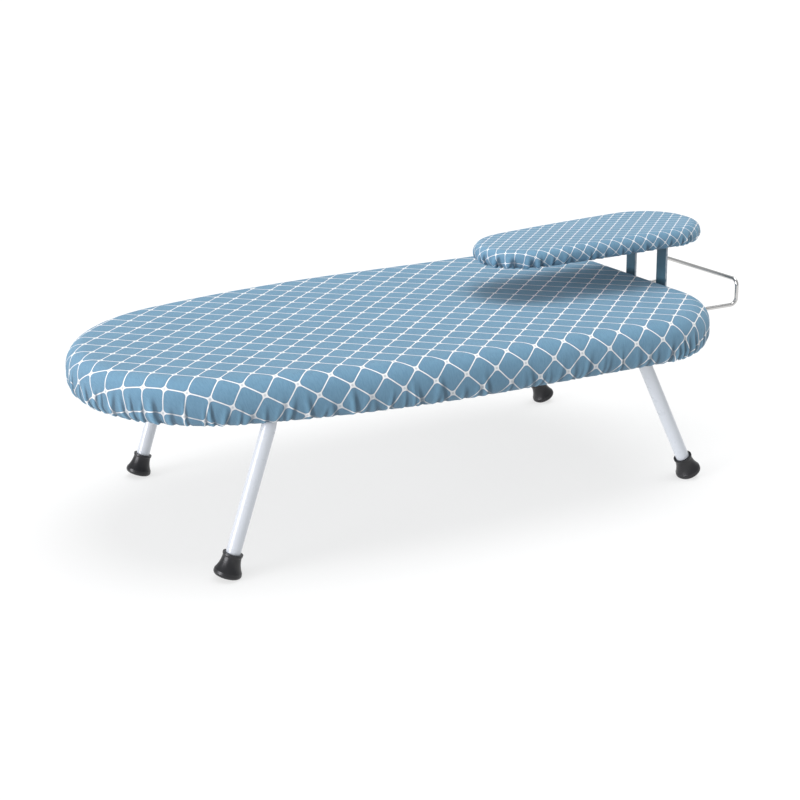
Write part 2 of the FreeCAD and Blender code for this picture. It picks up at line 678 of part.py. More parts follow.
def rubber_foot(end, tag, side):
    """A bell-shaped push-on foot, pressed flat where it meets the table."""
    base, lip, tall = size("foot_base_radius"), size("foot_lip_radius"), size("foot_height")
    bore, floor = size("tube_radius") + size("bore_gap"), size("foot_floor")
    waist, toe, dome = lip - size("foot_neck_depth"), size("foot_toe"), size("foot_dome")
    neck, brow, land = tall - size("foot_neck"), tall - size("foot_lip_height"), toe + size("foot_toe_land")
    flank, heel_start = base - size("foot_toe_taper"), base - size("foot_heel")
    name = f"{end}_foot_{tag}"
    body = new_body(name + "_bell")
    sketch = new_sketch(body, "XZ_Plane")
    swell = Vector(waist + size("foot_swell"), size("foot_swell_height"), 0)
    flare = Part.Arc(Vector(waist, neck, 0), swell, Vector(flank, land, 0))
    share = math.cos(math.pi / 4)       # the middle of the heel's quarter ellipse
    middle = Vector(heel_start + (base - heel_start) * share, toe - (toe - dome) * share, 0)
    heel = Part.Arc(Vector(base, toe, 0), middle, Vector(heel_start, dome, 0))
    sketch.addGeometry([
        line(0, floor, bore, floor), line(bore, floor, bore, tall), line(bore, tall, lip, tall),
        line(lip, tall, lip, brow), line(lip, brow, waist, neck), flare,
        line(flank, land, base, toe), heel, line(heel_start, dome, 0, 0), line(0, 0, 0, floor),
    ], False)
    bell = body.newObject("PartDesign::Revolution", name + "_turn")
    bell.Profile = sketch
    bell.ReferenceAxis = (sketch, ["V_Axis"])
    bell.Angle = 360
    doc.recompute()
    place(body, foot_frame(end, side))
    table = doc.addObject("Part::Box", name + "_table")
    table.Length = table.Width = 2 * REACH
    table.Height = REACH
    x, y, _, _ = foot_frame(end, side)
    place(table, (f"{x} - {REACH}", f"{y} - {REACH}", f"-{REACH}", 0.0))
    cut(name, body, [table], None)


# ---------------------------------------------------------------- iron rest

def bent_path(points, radii):
    """Straight runs through the points, joined by tangent arcs of the given radii."""
    edges = []
    start = points[0]
    for before, corner, after, radius in zip(points, points[1:], points[2:], radii):
        to_before = (before - corner).normalize()
        to_after = (after - corner).normalize()
        half_turn = (math.pi - to_before.getAngle(to_after)) / 2
        setback = radius * math.tan(half_turn)
        enter = corner + to_before * setback
        leave = corner + to_after * setback
        bisector = (to_before + to_after).normalize()
        centre = corner + bisector * (radius / math.cos(half_turn))
        edges.append(Part.LineSegment(start, enter).toShape())
        edges.append(Part.Arc(enter, centre - bisector * radius, leave).toShape())
        start = leave
    edges.append(Part.LineSegment(start, points[-1]).toShape())
    return Part.Wire(edges)


def iron_rest():
    """One wire: turned-out ends, two arms, two upright corners and the end bar."""
    half, hook = size("rest_half_span"), size("rest_hook_length")
    inner, outer = size("rest_hook_x"), size("rest_bar_x")
    low, high = size("rest_arm_z"), size("rest_bar_z")
    left = [Vector(inner, half + hook, low), Vector(inner, half, low), Vector(outer, half, low),
            Vector(outer, half, high)]
    right = [Vector(p.x, -p.y, p.z) for p in reversed(left)]
    hook_bend, bend = size("rest_hook_bend"), size("rest_bend")
    path = bent_path(left + right, [hook_bend, bend, bend, bend, bend, hook_bend])
    circle = Part.Circle(left[0], Vector(0, 1, 0), size("rest_wire"))
    wire = doc.addObject("Part::Feature", "iron_rest_wire")
    wire.Shape = path.makePipeShell([Part.Wire(circle.toShape())], True, False)
    node(wire, "iron_rest_wire", BOARD)


def rest_guide(tag, side):
    """A moulded block under the deck. One arm of the iron rest slides through it."""
    half, flange = size("guide_half_block"), size("guide_half_flange")
    low, high = size("guide_bottom"), size("panel_top") - size("panel_gauge")
    under = high - size("guide_flange")
    name = "rest_guide_" + tag
    body = new_body(name)
    sketch = polygon_sketch(body, "YZ_Plane", [
        (-half, low), (half, low), (half, under), (flange, under), (flange, high),
        (-flange, high), (-flange, under), (-half, under)])
    sketch.addGeometry(Part.Circle(Vector(0, size("rest_arm_z"), 0), Vector(0, 0, 1),
                                   size("guide_bore")), False)
    bind(sketch, "sizes.guide_bore", "Radius", 8, size("guide_bore"))
    pad(body, sketch, "sizes.guide_length")
    drill(body, "screw_radius", [(size("guide_length") / 2, y)
                                 for y in (-size("guide_screw_y"), size("guide_screw_y"))])
    node(body, name, ("sizes.guide_front", f"{side} * sizes.rest_half_span", "0", 0.0))


# ---------------------------------------------------------------- sleeve board mounting

def tail_bracket():
    """A deep hat section under the tail of the deck, which carries the two sockets."""
    front, back = size("bracket_front"), size("bracket_back")
    flange, gauge = size("bracket_flange"), size("bracket_gauge")
    low, high = size("strap_foot"), size("panel_top") - size("panel_gauge")
    body = new_body("tail_bracket")
    sketch = polygon_sketch(body, "XZ_Plane", [
        (front, low), (back, low), (back, high - gauge), (back + flange, high - gauge),
        (back + flange, high), (back - gauge, high), (back - gauge, low + gauge),
        (front + gauge, low + gauge), (front + gauge, high), (front - flange, high),
        (front - flange, high - gauge), (front, high - gauge)])
    pad(body, sketch, "2 * sizes.bracket_half_length", centred=True)
    drill(body, "bolt_radius", bolt_points())
    node(body, "tail_bracket", BOARD)


def bolt_points():
    return [(size(x), side * size("strap_y")) for x in ("bolt_first_x", "bolt_second_x")
            for _, side in SIDES]


def strap_socket(tag, side):
    """A flat sleeve beyond the tail edge, on a foot plate bolted under the tail bracket."""
    wall, gap = size("socket_wall"), size("socket_gap")
    centre, floor, top = size("strap_x"), size("strap_foot"), size("socket_top")
    half_x, half_y = size("strap_gauge") / 2 + gap, size("strap_width") / 2 + gap
    front, foot = size("socket_foot_front"), size("socket_foot_gauge")
    name = "strap_socket_" + tag
    sleeve = block(name + "_sleeve_blank", (centre - half_x - wall, -half_y - wall, floor - foot),
                   (centre + half_x + wall, half_y + wall, top))
    sleeve = round_uprights(name + "_sleeve", sleeve, "socket_corner")
    plate = block(name + "_plate", (front, -half_y - wall, floor - foot),
                  (centre, half_y + wall, floor))
    slot = block(name + "_slot", (centre - half_x, -half_y, floor), (centre + half_x, half_y, top + REACH))
    whole = doc.addObject("Part::MultiFuse", name + "_whole")
    whole.Shapes = [sleeve, plate]
    holes = [round_bar(f"{name}_hole_{i}", "bolt_radius", REACH, size(x), 0, floor - REACH / 2)
             for i, x in enumerate(("bolt_first_x", "bolt_second_x"))]
    for hole in holes:
        hole.setExpression("Radius", "sizes.bolt_radius + sizes.hole_gap")
    cut(name, whole, [slot] + holes, ("0", f"{side} * sizes.strap_y", "0", 0.0))


def socket_fixings():
    under = size("strap_foot") - size("socket_foot_gauge")
    grip = size("socket_foot_gauge") + size("bracket_gauge") + size("nut_height")
    fasteners("socket_bolts", [(x, y, under) for x, y in bolt_points()], "bolt_radius", "bolt_head",
              "bolt_head_height", grip, BOARD)
    nuts = []
    seat = size("strap_foot") + size("bracket_gauge")
    for index, (x, y) in enumerate(bolt_points()):
        blank = doc.addObject("Part::Prism", f"nut_blank_{index}")
        blank.Polygon = 6
        blank.setExpression("Circumradius", "sizes.bolt_head")
        blank.setExpression("Height", "sizes.nut_height")
        blank.Placement = Placement(Vector(x, y, seat), Rotation())
        hole = round_bar(f"nut_hole_{index}", "bolt_radius", REACH, x, y, seat - REACH / 2)
        hole.setExpression("Radius", "sizes.bolt_radius + sizes.thread_gap")
        nut = doc.addObject("Part::Cut", f"nut_{index}")
        nut.Base = blank
        nut.Tool = hole
        nuts.append(nut)
    group = doc.addObject("Part::Compound", "socket_nuts")
    group.Links = nuts
    node(group, "socket_nuts", BOARD)


def strap_points():
    """The strap's centre line in the board's frame: up from the socket, then under the sleeve deck."""
    droop = math.radians(size("sleeve_droop"))
    x, half = size("strap_x"), size("strap_gauge") / 2
    corner_z = size("sleeve_z") - half / math.cos(droop) + (x - size("sleeve_x")) * math.tan(droop)
    end = Vector(x - size("strap_flange") * math.cos(droop), 0,
                 corner_z - size("strap_flange") * math.sin(droop))
    return [Vector(x, 0, size("strap_foot")), Vector(x, 0, corner_z), end]


def sleeve_strap(tag, side):
    """A flat bar bent once: it stands in its socket and turns in under the sleeve deck."""
    start, corner, end = strap_points()
    droop = math.radians(size("sleeve_droop"))
    half, bend = size("strap_gauge") / 2, size("strap_bend")
    turn = math.pi / 2 + droop
    setback = bend * math.tan(turn / 2)
    flange = Vector(-math.cos(droop), 0, -math.sin(droop))
    normal = Vector(-math.sin(droop), 0, math.cos(droop))
    hub = corner + flange * setback - normal * bend
    name = "sleeve_strap_" + tag
    body = new_body(name + "_bar")
    sketch = new_sketch(body, "XZ_Plane")

    def offset(point, away, distance):
        return (point.x + away.x * distance, point.z + away.z * distance)

    rise = Vector(corner.x, 0, hub.z)
    inner, outer = bend - half, bend + half
    knee = corner + flange * setback
    corners = {s: [offset(start, Vector(1, 0, 0), s * half), offset(rise, Vector(1, 0, 0), s * half),
                   offset(knee, normal, s * half), offset(end, normal, s * half)] for s in (1, -1)}
    a, b = corners[1], corners[-1]
    sketch.addGeometry([
        line(*a[0], *a[1]), arc(hub.x, hub.z, outer, 0, math.pi / 2 + droop), line(*a[2], *a[3]),
        line(*a[3], *b[3]), line(*b[3], *b[2]), arc(hub.x, hub.z, inner, 0, math.pi / 2 + droop),
        line(*b[1], *b[0]), line(*b[0], *a[0])], False)
    for first, first_end, second, second_end in [(0, 2, 1, 1), (1, 2, 2, 1), (2, 2, 3, 1), (3, 2, 4, 1),
                                                 (4, 2, 5, 2), (5, 1, 6, 1), (6, 2, 7, 1), (7, 2, 0, 1)]:
        sketch.addConstraint(Sketcher.Constraint("Coincident", first, first_end, second, second_end))
    last = pad(body, sketch, "sizes.strap_width", centred=True)
    for level in (-size("strap_width") / 2, size("strap_width") / 2):
        last = round_edges(body, last, level, "sizes.strap_edge", "Y")
    holes = [round_bar(f"{name}_hole_{i}", "screw_radius", REACH,
                       size("sleeve_x") + size(x) * math.cos(droop), 0,
                       size("sleeve_z") + size(x) * math.sin(droop) - REACH / 2)
             for i, x in enumerate(("sleeve_screw_first", "sleeve_screw_second"))]
    for hole in holes:
        hole.setExpression("Radius", "sizes.screw_radius + 2 * sizes.hole_gap")
    cut(name, body, holes, ("0", f"{side} * sizes.strap_y", "0", 0.0))


# ---------------------------------------------------------------- sleeve board

def sleeve_screw_points():
    return [(size(x), side * size("strap_y")) for x in ("sleeve_screw_first", "sleeve_screw_second")
            for _, side in SIDES]


def sleeve_deck():
    shell = slab("sleeve_shell", "sleeve", "rim_inset", "sleeve_rim_bottom", "sleeve_deck_top",
                 "sleeve_deck_shoulder")
    room = new_body("sleeve_room")
    sketch = plan_sketch(room, "sleeve", "sleeve_deck_wall", "sizes.sleeve_rim_bottom")
    last = pad(room, sketch, "-sizes.sleeve_rim_bottom")
    round_edges(room, last, 0, "sizes.sleeve_deck_void_shoulder")
    holes = [round_bar(f"sleeve_deck_hole_{i}", "screw_radius", REACH, x, y, -REACH / 2)
             for i, (x, y) in enumerate(sleeve_screw_points())]
    for hole in holes:
        hole.setExpression("Radius", "sizes.screw_radius + sizes.hole_gap")
    cut("sleeve_deck", shell, [room] + holes, SLEEVE)


def sleeve_pad():
    node(slab("sleeve_pad", "sleeve", "sleeve_pad_inset", "sleeve_deck_top", "sleeve_pad_top"),
         "sleeve_pad", SLEEVE)


def sleeve_cover():
    skin = slab("sleeve_skin", "sleeve", "cover_inset", "sleeve_cover_bottom", "sleeve_cover_top",
                "sleeve_shoulder", "sleeve_hem_radius")
    room = new_body("sleeve_cover_room")
    sketch = plan_sketch(room, "sleeve", "cover_gauge", "sizes.sleeve_cover_bottom + sizes.cover_gauge")
    last = pad(room, sketch, "sizes.sleeve_cover_top - sizes.sleeve_cover_bottom - 2 * sizes.cover_gauge")
    last = round_edges(room, last, size("sleeve_cover_bottom") + size("cover_gauge"),
                       "sizes.sleeve_void_hem")
    round_edges(room, last, size("sleeve_cover_top") - size("cover_gauge"),
                "sizes.sleeve_void_shoulder")
    mouth = new_body("sleeve_cover_mouth")
    sketch = plan_sketch(mouth, "sleeve", "cover_lip",
                         "sizes.sleeve_cover_bottom - sizes.cover_gauge")
    pad(mouth, sketch, "3 * sizes.cover_gauge")
    cut("sleeve_cover", skin, [room, mouth], SLEEVE)


# ---------------------------------------------------------------- assembly

board_cover()
draw_cord("board_draw_cord", "board", "draw_cord_bottom", "draw_cord_top", BOARD)
board_pad()
deck_panel()
deck_rim()

for end, frame, lean in (("front", FRONT_LEGS, 1), ("rear", REAR_LEGS, -1)):
    leg_channel(end)
    leg_tube(end, frame)
    stop_plate(end, lean)
    for tag, side in SIDES:
        saddle(end, tag, side)
        fold_clip(end, tag, side)
        rubber_foot(end, tag, side)
saddle_rivets()

iron_rest()
for tag, side in SIDES:
    rest_guide(tag, side)
    strap_socket(tag, side)
    sleeve_strap(tag, side)
guide_under = size("panel_top") - size("panel_gauge") - size("guide_flange")
guide_middle = size("guide_front") + size("guide_length") / 2
fasteners("guide_screws",
          [(guide_middle, side * size("rest_half_span") + y, guide_under) for _, side in SIDES
           for y in (-size("guide_screw_y"), size("guide_screw_y"))],
          "screw_radius", "screw_head", "screw_head_height", size("guide_flange"), BOARD)
clip_screws()
tail_bracket()
socket_fixings()

sleeve_deck()
sleeve_pad()
sleeve_cover()
draw_cord("sleeve_draw_cord", "sleeve", "sleeve_cord_bottom", "sleeve_cord_top", SLEEVE)
fasteners("sleeve_screws", [(x, y, -size("strap_gauge")) for x, y in sleeve_screw_points()],
          "screw_radius", "screw_head", "screw_head_height",
          size("strap_gauge") + size("sleeve_deck_top"), SLEEVE)

doc.recompute()

# ---------------------------------------------------------------- checks and files

faults = [f"{obj.Name}: {obj.State}" for obj in doc.Objects
          if "Invalid" in obj.State or "Error" in obj.State]
for obj in nodes:
    if obj.Shape.isNull() or not obj.Shape.isValid() or not obj.Shape.Solids:
        faults.append(f"{obj.Label}: no valid solid")
if faults:
    raise SystemExit("not written: " + "; ".join(faults))

os.makedirs("parts", exist_ok=True)
for obj in nodes:
    obj.Shape.exportStep(f"parts/{obj.Label}.step")
    box = obj.Shape.BoundBox
    print(f"{obj.Label:22s} {len(obj.Shape.Solids)} solid(s) {obj.Shape.Volume:10.0f} mm3  "
          f"x {box.XMin:7.1f} {box.XMax:7.1f}  y {box.YMin:7.1f} {box.YMax:7.1f}  "
          f"z {box.ZMin:6.1f} {box.ZMax:6.1f}")
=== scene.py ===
"""The looks of a tabletop ironing board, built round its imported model.

Metres, in the model's own frame: +X runs from the nose to the tail, +Y is the left side, +Z is
up, and the feet stand on z = 0. The hard pieces keep their CAD meshes and get materials. The two
cotton covers, the felt pads, the draw cords and the eyelets of the iron rest are made here.
"""

import json
import math

import bpy
import numpy as np
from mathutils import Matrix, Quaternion, Vector, noise


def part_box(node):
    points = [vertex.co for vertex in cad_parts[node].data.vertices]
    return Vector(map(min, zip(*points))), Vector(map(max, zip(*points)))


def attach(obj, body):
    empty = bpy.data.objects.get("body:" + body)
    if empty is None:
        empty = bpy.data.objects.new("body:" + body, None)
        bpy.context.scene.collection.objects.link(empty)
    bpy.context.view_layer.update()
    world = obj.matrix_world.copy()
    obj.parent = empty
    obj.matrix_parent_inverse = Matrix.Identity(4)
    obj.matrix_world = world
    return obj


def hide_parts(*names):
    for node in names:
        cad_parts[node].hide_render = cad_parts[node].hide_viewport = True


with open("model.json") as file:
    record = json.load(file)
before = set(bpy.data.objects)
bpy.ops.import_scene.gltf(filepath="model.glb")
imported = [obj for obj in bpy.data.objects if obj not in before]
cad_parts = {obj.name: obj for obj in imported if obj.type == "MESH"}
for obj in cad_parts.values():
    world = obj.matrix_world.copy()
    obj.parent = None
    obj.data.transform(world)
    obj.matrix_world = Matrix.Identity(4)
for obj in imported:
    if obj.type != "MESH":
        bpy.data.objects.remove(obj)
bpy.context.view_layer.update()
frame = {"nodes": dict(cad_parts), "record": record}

# how the covers are worked
STATION = 0.0013                    # outline between one point of a cover and the next
COVER_RING = 0.0024                 # cloth between one ring of points and the next
TOP_RINGS, TOP_SPREAD = 11, 0.9     # rings of points across the flat top, and the power that spaces them
CASING_RADIUS = 0.0019              # cloth rolled round the cord
CASING_START = 0.2                  # turn between the hem's last point and the casing's first
CASING_TURN = math.radians(310)     # the casing rolls round the cord by this
CASING_SLIT = 0.022                 # opening in the casing at the middle of the tail
SHOULDER_STEPS, HEM_STEPS, CASING_STEPS = 40, 30, 24    # points on the section's arcs
CORD_RADIUS, CORD_SIDES, CORD_STEP = 0.0012, 12, 0.0015
HEM_PAINTED_SHADE, PAINTED_SHADE_FROM = 0.64, 0.22  # painted shade: the cover's colour is darkened towards the gathered hem, from this share of the side down
CREASE_PAINTED_SHADE = 3.0                  # and a crease's valley is painted darker still, as painted shade

# how the spare cloth gathers
HELD_SHARE = 0.35                   # the part of the side that lies tight
SLACK_FROM, SLACK_RISE = 0.34, 0.38     # where spare cloth starts down the side, and how soon it is full
TURNING_STATIONS = 15               # stations over which the outline's turning is evened out
TURNING_FULL = 0.11                 # outline radius that gathers the cloth fully
LEAST_SLACK = 0.30                  # spare cloth along a straight side, as a share of the fullest
CREASE_WIDTH = (0.0010, 0.0022)
CREASE_RISE = (0.016, 0.044)
CREASE_GAP = (0.005, 0.020)
CREASE_STRENGTH = (0.35, 1.0)
CREASE_LEAN = 0.25                  # most that a crease leans, as a slope
CREASE_FADE = 0.8                   # how a crease fades as it rises, as a power
CREASE_DEPTH = 0.0026
RIDGE_PLACE, RIDGE_WIDTH = 2.1, 1.3     # the ridge beside a crease, in widths of the crease
RIDGE_HEIGHT = 0.55                 # and as a share of its depth
SPARE_CLOTH = 0.15                  # how much longer the cloth is than its casing, at the most
SIM_SCALE, SIM_FRAMES = 10.0, 16
CREASE_CAP = 0.0017                 # furthest that a settled point lies from the smooth section

# pads and eyelets
PAD_RINGS, PAD_EDGE_RINGS = 10, 9
PAD_UNEVEN, PAD_WAVES = 0.0004, 45.0    # depth of the hollows in the felt, and how close together
ARM_RADIUS = 0.002                  # wire of the iron rest
EYELET_HOLE, EYELET_RADIUS, EYELET_BINDING = 0.0034, 0.0035, 0.0010
EYELET_PROUD = 0.0005               # the eyelets stand on the cloth, just past the tail edge
EYELET_STITCHES, STITCH_RELIEF, EYELET_SIDES = 20, 0.14, 10
BINDING_DEPTH = 0.7                 # the binding is flatter than it is wide


# ---------------------------------------------------------------- outline of a board

class Plan:
    """A board's outline: a nose arc, long side arcs, parallel sides, corner arcs and a straight tail.

    Stations run from the tip of the nose along the left side to the middle of the tail, and back
    along the right side. Every inset outline has the same normals.
    """

    def __init__(self, nose, tail, half, side_radius, taper_end, corner):
        span = taper_end - nose
        nose_radius = (2 * side_radius * half - half ** 2 - span ** 2) / (2 * (side_radius - span))
        self.nose_x = nose + nose_radius
        self.tail_x = tail - corner
        turn = math.atan2(side_radius - half, self.nose_x - taper_end)
        quarter = math.pi / 2
        self.pieces = [
            ("arc", (self.nose_x, 0), nose_radius, math.pi, turn),
            ("arc", (taper_end, half - side_radius), side_radius, turn, quarter),
            ("line", (taper_end, half), (self.tail_x, half)),
            ("arc", (self.tail_x, half - corner), corner, quarter, 0),
            ("line", (tail, half - corner), (tail, 0)),
        ]
        self.lengths = [self.measure(piece) for piece in self.pieces]
        self.around = 2 * sum(self.lengths)

    @staticmethod
    def measure(piece):
        """The length of one piece of the outline."""
        if piece[0] == "arc":
            _, _, radius, start, end = piece
            return radius * abs(end - start)
        _, first, last = piece
        return math.dist(first, last)

    def at(self, along):
        """(x, y, normal x, normal y, spine x) at a distance along the left half.

        The spine is the line down the middle from the nose arc's centre to the corner arcs'. The
        nose's stations all meet its first point, and the corners' and the tail's its last.
        """
        for index, (piece, length) in enumerate(zip(self.pieces, self.lengths)):
            if along <= length or index == len(self.pieces) - 1:
                break
            along -= length
        share = min(1.0, along / length)
        if piece[0] == "arc":
            _, centre, radius, start, end = piece
            angle = start + (end - start) * share
            across = (math.cos(angle), math.sin(angle))
            point = [centre[i] + radius * across[i] for i in (0, 1)]
        else:
            _, first, last = piece
            point = [first[i] + (last[i] - first[i]) * share for i in (0, 1)]
            across = (0.0, 1.0) if index == 2 else (1.0, 0.0)
        middle = self.lengths[1] + self.lengths[2]
        done = along + (self.lengths[1] if index == 2 else 0)
        spine = {0: 0.0, 1: done / middle, 2: done / middle}.get(index, 1.0)
        return point[0], point[1], across[0], across[1], self.nose_x + (self.tail_x - self.nose_x) * spine

    def stations(self, spacing):
        """Points, outward normals and spine points round the whole outline, mirrored about y = 0."""
        steps = round(self.around / 2 / spacing)
        left = np.array([self.at(self.around / 2 * i / steps) for i in range(steps + 1)])
        right = left[-2:0:-1] * (1, -1, 1, -1, 1)
        rows = np.vstack([left, right])
        spine = np.column_stack([rows[:, 4], np.zeros(len(rows))])
        return rows[:, 0:2], rows[:, 2:4], spine


def resample(points, spacing):
    """A polyline with evenly spaced points, and the distance along it of each."""
    points = np.array(points, float)
    along = np.concatenate([[0], np.cumsum(np.linalg.norm(np.diff(points, axis=0), axis=1))])
    at = np.linspace(0, along[-1], max(2, round(along[-1] / spacing) + 1))
    return np.column_stack([np.interp(at, along, points[:, i]) for i in (0, 1)]), at


def wrap_section(depth, shoulder, hem, hem_turn):
    """A cover's section from the top down, as (inset, drop): shoulder, side, hem and cord casing.

    The hem curls in by hem_turn and then rolls on round the draw cord. The other results are the
    length of cloth before the casing starts, and the cord's centre as (inset, drop).
    """
    swing = np.linspace(0, math.pi / 2, SHOULDER_STEPS)
    top = [(shoulder - shoulder * math.sin(t), shoulder - shoulder * math.cos(t)) for t in swing]
    swing = np.linspace(0, hem_turn, HEM_STEPS)
    low = [(hem - hem * math.cos(t), depth - hem + hem * math.sin(t)) for t in swing]
    tightening = hem - CASING_RADIUS
    cord = (hem - tightening * math.cos(hem_turn), depth - hem + tightening * math.sin(hem_turn))
    swing = np.linspace(hem_turn + CASING_START, hem_turn + CASING_TURN, CASING_STEPS)
    roll = [(cord[0] - CASING_RADIUS * math.cos(t), cord[1] + CASING_RADIUS * math.sin(t)) for t in swing]
    before = np.array(top + low)
    return top + low + roll, float(np.sum(np.linalg.norm(np.diff(before, axis=0), axis=1))), cord


def ring_faces(rings, stations):
    """Quads between closed rings of equal length."""
    faces = []
    for ring in range(rings - 1):
        for i in range(stations):
            j = (i + 1) % stations
            a, b = ring * stations, (ring + 1) * stations
            faces.append((a + i, a + j, b + j, b + i))
    return faces


def mesh_object(name, points, faces):
    """A smooth-shaded mesh, linked into the scene."""
    mesh = bpy.data.meshes.new(name)
    mesh.from_pydata([tuple(p) for p in points], [], faces)
    mesh.polygons.foreach_set("use_smooth", [True] * len(faces))
    mesh.update()
    obj = bpy.data.objects.new(name, mesh)
    bpy.context.scene.collection.objects.link(obj)
    return obj


# ---------------------------------------------------------------- materials

class Look:
    """A procedural material: a Principled shader and the nodes that feed it."""

    def __init__(self, name, **sockets):
        self.material = bpy.data.materials.new(name)
        self.material.use_nodes = True
        self.tree = self.material.node_tree
        self.shader = self.tree.nodes["Principled BSDF"]
        for socket, value in sockets.items():
            self.set(socket.replace("_", " "), value)

    def set(self, socket, value):
        """A number, a colour or another node's output, on one of the shader's sockets."""
        self.feed(self.shader.inputs[socket], value)

    def feed(self, target, value):
        """The same for any socket of any node."""
        if isinstance(value, bpy.types.NodeSocket):
            self.tree.links.new(value, target)
        elif hasattr(value, "__len__") and len(value) == 3 and target.type == "RGBA":
            target.default_value = (*value, 1.0)
        else:
            target.default_value = value

    def node(self, kind, *values, **settings):
        """A node with its settings, and its inputs fed in order."""
        made = self.tree.nodes.new("ShaderNode" + kind)
        for key, value in settings.items():
            setattr(made, key, value)
        for index, value in enumerate(values):
            if value is not None:
                self.feed(made.inputs[index], value)
        return made

    def math(self, operation, *values):
        """A number worked out from others."""
        return self.node("Math", *values, operation=operation).outputs[0]

    def vector(self, operation, *values, out=0):
        """A vector worked out from others, or with out=1 a number."""
        return self.node("VectorMath", *values, operation=operation).outputs[out]

    def where(self):
        """The place on the piece, in metres."""
        return self.node("TexCoord").outputs["Object"]

    def noise(self, place, scale, detail=3.0, rough=0.55, out="Fac"):
        """Noise with about scale lumps to a metre."""
        made = self.node("TexNoise")
        for socket, value in (("Vector", place), ("Scale", scale), ("Detail", detail), ("Roughness", rough)):
            self.feed(made.inputs[socket], value)
        return made.outputs[out]

    def span(self, value, low, high, to_low=0.0, to_high=1.0, smooth=False):
        """A value mapped from one range to another and held inside it."""
        kind = "SMOOTHSTEP" if smooth else "LINEAR"
        return self.node("MapRange", value, low, high, to_low, to_high, interpolation_type=kind).outputs[0]

    def mix(self, share, first, second):
        """A colour that goes from first to second as share goes from 0 to 1."""
        made = self.node("Mix", data_type="RGBA")
        for index, value in ((0, share), (6, first), (7, second)):
            self.feed(made.inputs[index], value)
        return made.outputs[2]

    def bump(self, height, depth, below=None):
        """A bump of a height from 0 to 1 and a depth in metres, over another bump if there is one."""
        made = self.node("Bump")
        self.feed(made.inputs["Height"], height)
        made.inputs["Distance"].default_value = depth
        if below is not None:
            self.tree.links.new(below, made.inputs["Normal"])
        return made.outputs["Normal"]


def net_cloth(name, cell, crossing):
    """Cotton with a white net printed at 45 degrees, in the cloth's own flat coordinates.

    cell is the side of one mesh of the net, and crossing is a place where two lines cross. Inside
    the material, lengths of the net are in meshes.
    """
    look = Look(name, Roughness=0.82, Sheen_Weight=0.10, Sheen_Roughness=0.45, Specular_IOR_Level=0.28)
    cloth = look.node("Attribute", attribute_name="cloth").outputs["Vector"]
    wobble = look.vector("SUBTRACT", look.noise(cloth, 38.0, 1.0, 0.5, "Color"), (0.5, 0.5, 0.5))
    wavy = look.vector("ADD", cloth, look.vector("MULTIPLY", wobble, (cell * 0.05,) * 3))
    share = math.sqrt(0.5) / cell
    turned = look.node("Mapping", wavy)
    turned.inputs["Rotation"].default_value = (0, 0, math.radians(45))
    turned.inputs["Scale"].default_value = (1 / cell, 1 / cell, 0)
    turned.inputs["Location"].default_value = (-(crossing[0] - crossing[1]) * share,
                                               -(crossing[0] + crossing[1]) * share, 0)
    fraction = look.vector("FRACTION", turned.outputs[0])
    from_middle = look.vector("ABSOLUTE", look.vector("SUBTRACT", fraction, (0.5, 0.5, 0)))

    corner, line_width = 0.17, 0.055
    half = 0.5 - line_width / 2
    beyond = look.vector("SUBTRACT", from_middle, (half - corner, half - corner, 0))
    outside = look.vector("LENGTH", look.vector("MAXIMUM", beyond, (0, 0, 0)), out=1)
    split = look.node("SeparateXYZ", beyond)
    inside = look.math("MINIMUM", look.math("MAXIMUM", split.outputs[0], split.outputs[1]), 0.0)
    edge = look.math("SUBTRACT", look.math("ADD", outside, inside), corner)
    fray = look.span(look.noise(cloth, 900.0, 2.0), 0.3, 0.7, -0.0025, 0.0025)
    edge = look.math("ADD", edge, fray)
    line = look.span(edge, -0.006, 0.006)
    halo = look.span(edge, -0.030, -0.006, 0.0, 0.60, smooth=True)
    to_node = look.vector("LENGTH", look.vector("SUBTRACT", (0.5, 0.5, 0), from_middle), out=1)
    dot = look.span(to_node, 0.040, 0.062, 0.60, 0.0)

    patchy = look.span(look.noise(cloth, 14.0, 3.0), 0.35, 0.65)
    blue = look.mix(patchy, (0.174, 0.338, 0.474), (0.193, 0.370, 0.515))
    threads = look.noise(look.vector("MULTIPLY", cloth, (1.0, 6.0, 1.0)), 420.0, 2.0)
    blue = look.mix(look.span(threads, 0.3, 0.7, 0.0, 0.30), blue, (0.125, 0.258, 0.385))
    slubs = look.noise(look.vector("MULTIPLY", cloth, (5.0, 1.0, 1.0)), 170.0, 2.0)
    blue = look.mix(look.span(slubs, 0.42, 0.72, 0.0, 0.45), blue, (0.118, 0.245, 0.365))
    blue = look.mix(halo, blue, (0.070, 0.160, 0.270))
    white = look.mix(dot, (0.95, 0.955, 0.96), (0.55, 0.58, 0.61))
    printed = look.mix(line, blue, white)
    # painted shade: the print is darkened towards the hem and in the creases' valleys
    shade = look.node("Attribute", attribute_name="shade").outputs["Fac"]
    look.set("Base Color", look.mix(look.span(shade, 0.0, 0.9, 0.0, 0.85), printed, (0.055, 0.095, 0.135)))

    weave = look.node("SeparateXYZ", look.vector("MULTIPLY", cloth, (2 * math.pi / 0.0006,) * 3))
    warp, weft = [look.math("SINE", weave.outputs[i]) for i in (0, 1)]
    fine = look.bump(look.math("MULTIPLY", warp, weft), 0.00006)
    soft = look.bump(look.noise(cloth, 60.0, 4.0, 0.5), 0.0008, fine)
    look.set("Normal", look.bump(line, 0.00004, soft))
    return look.material


def powder_coat(name, colour, rough, peel):
    """Powder coat with orange peel and a little unevenness of gloss."""
    look = Look(name, Coat_Weight=0.25, Coat_Roughness=0.18)
    place = look.where()
    tone = look.span(look.noise(place, 30.0), 0.3, 0.7)
    darker = tuple(c * 0.97 for c in colour)
    look.set("Base Color", look.mix(tone, darker, colour))
    look.set("Roughness", look.span(look.noise(place, 90.0), 0.3, 0.7, rough - 0.05, rough + 0.06))
    look.set("Normal", look.bump(look.noise(place, 900.0, 2.0), peel))
    return look.material


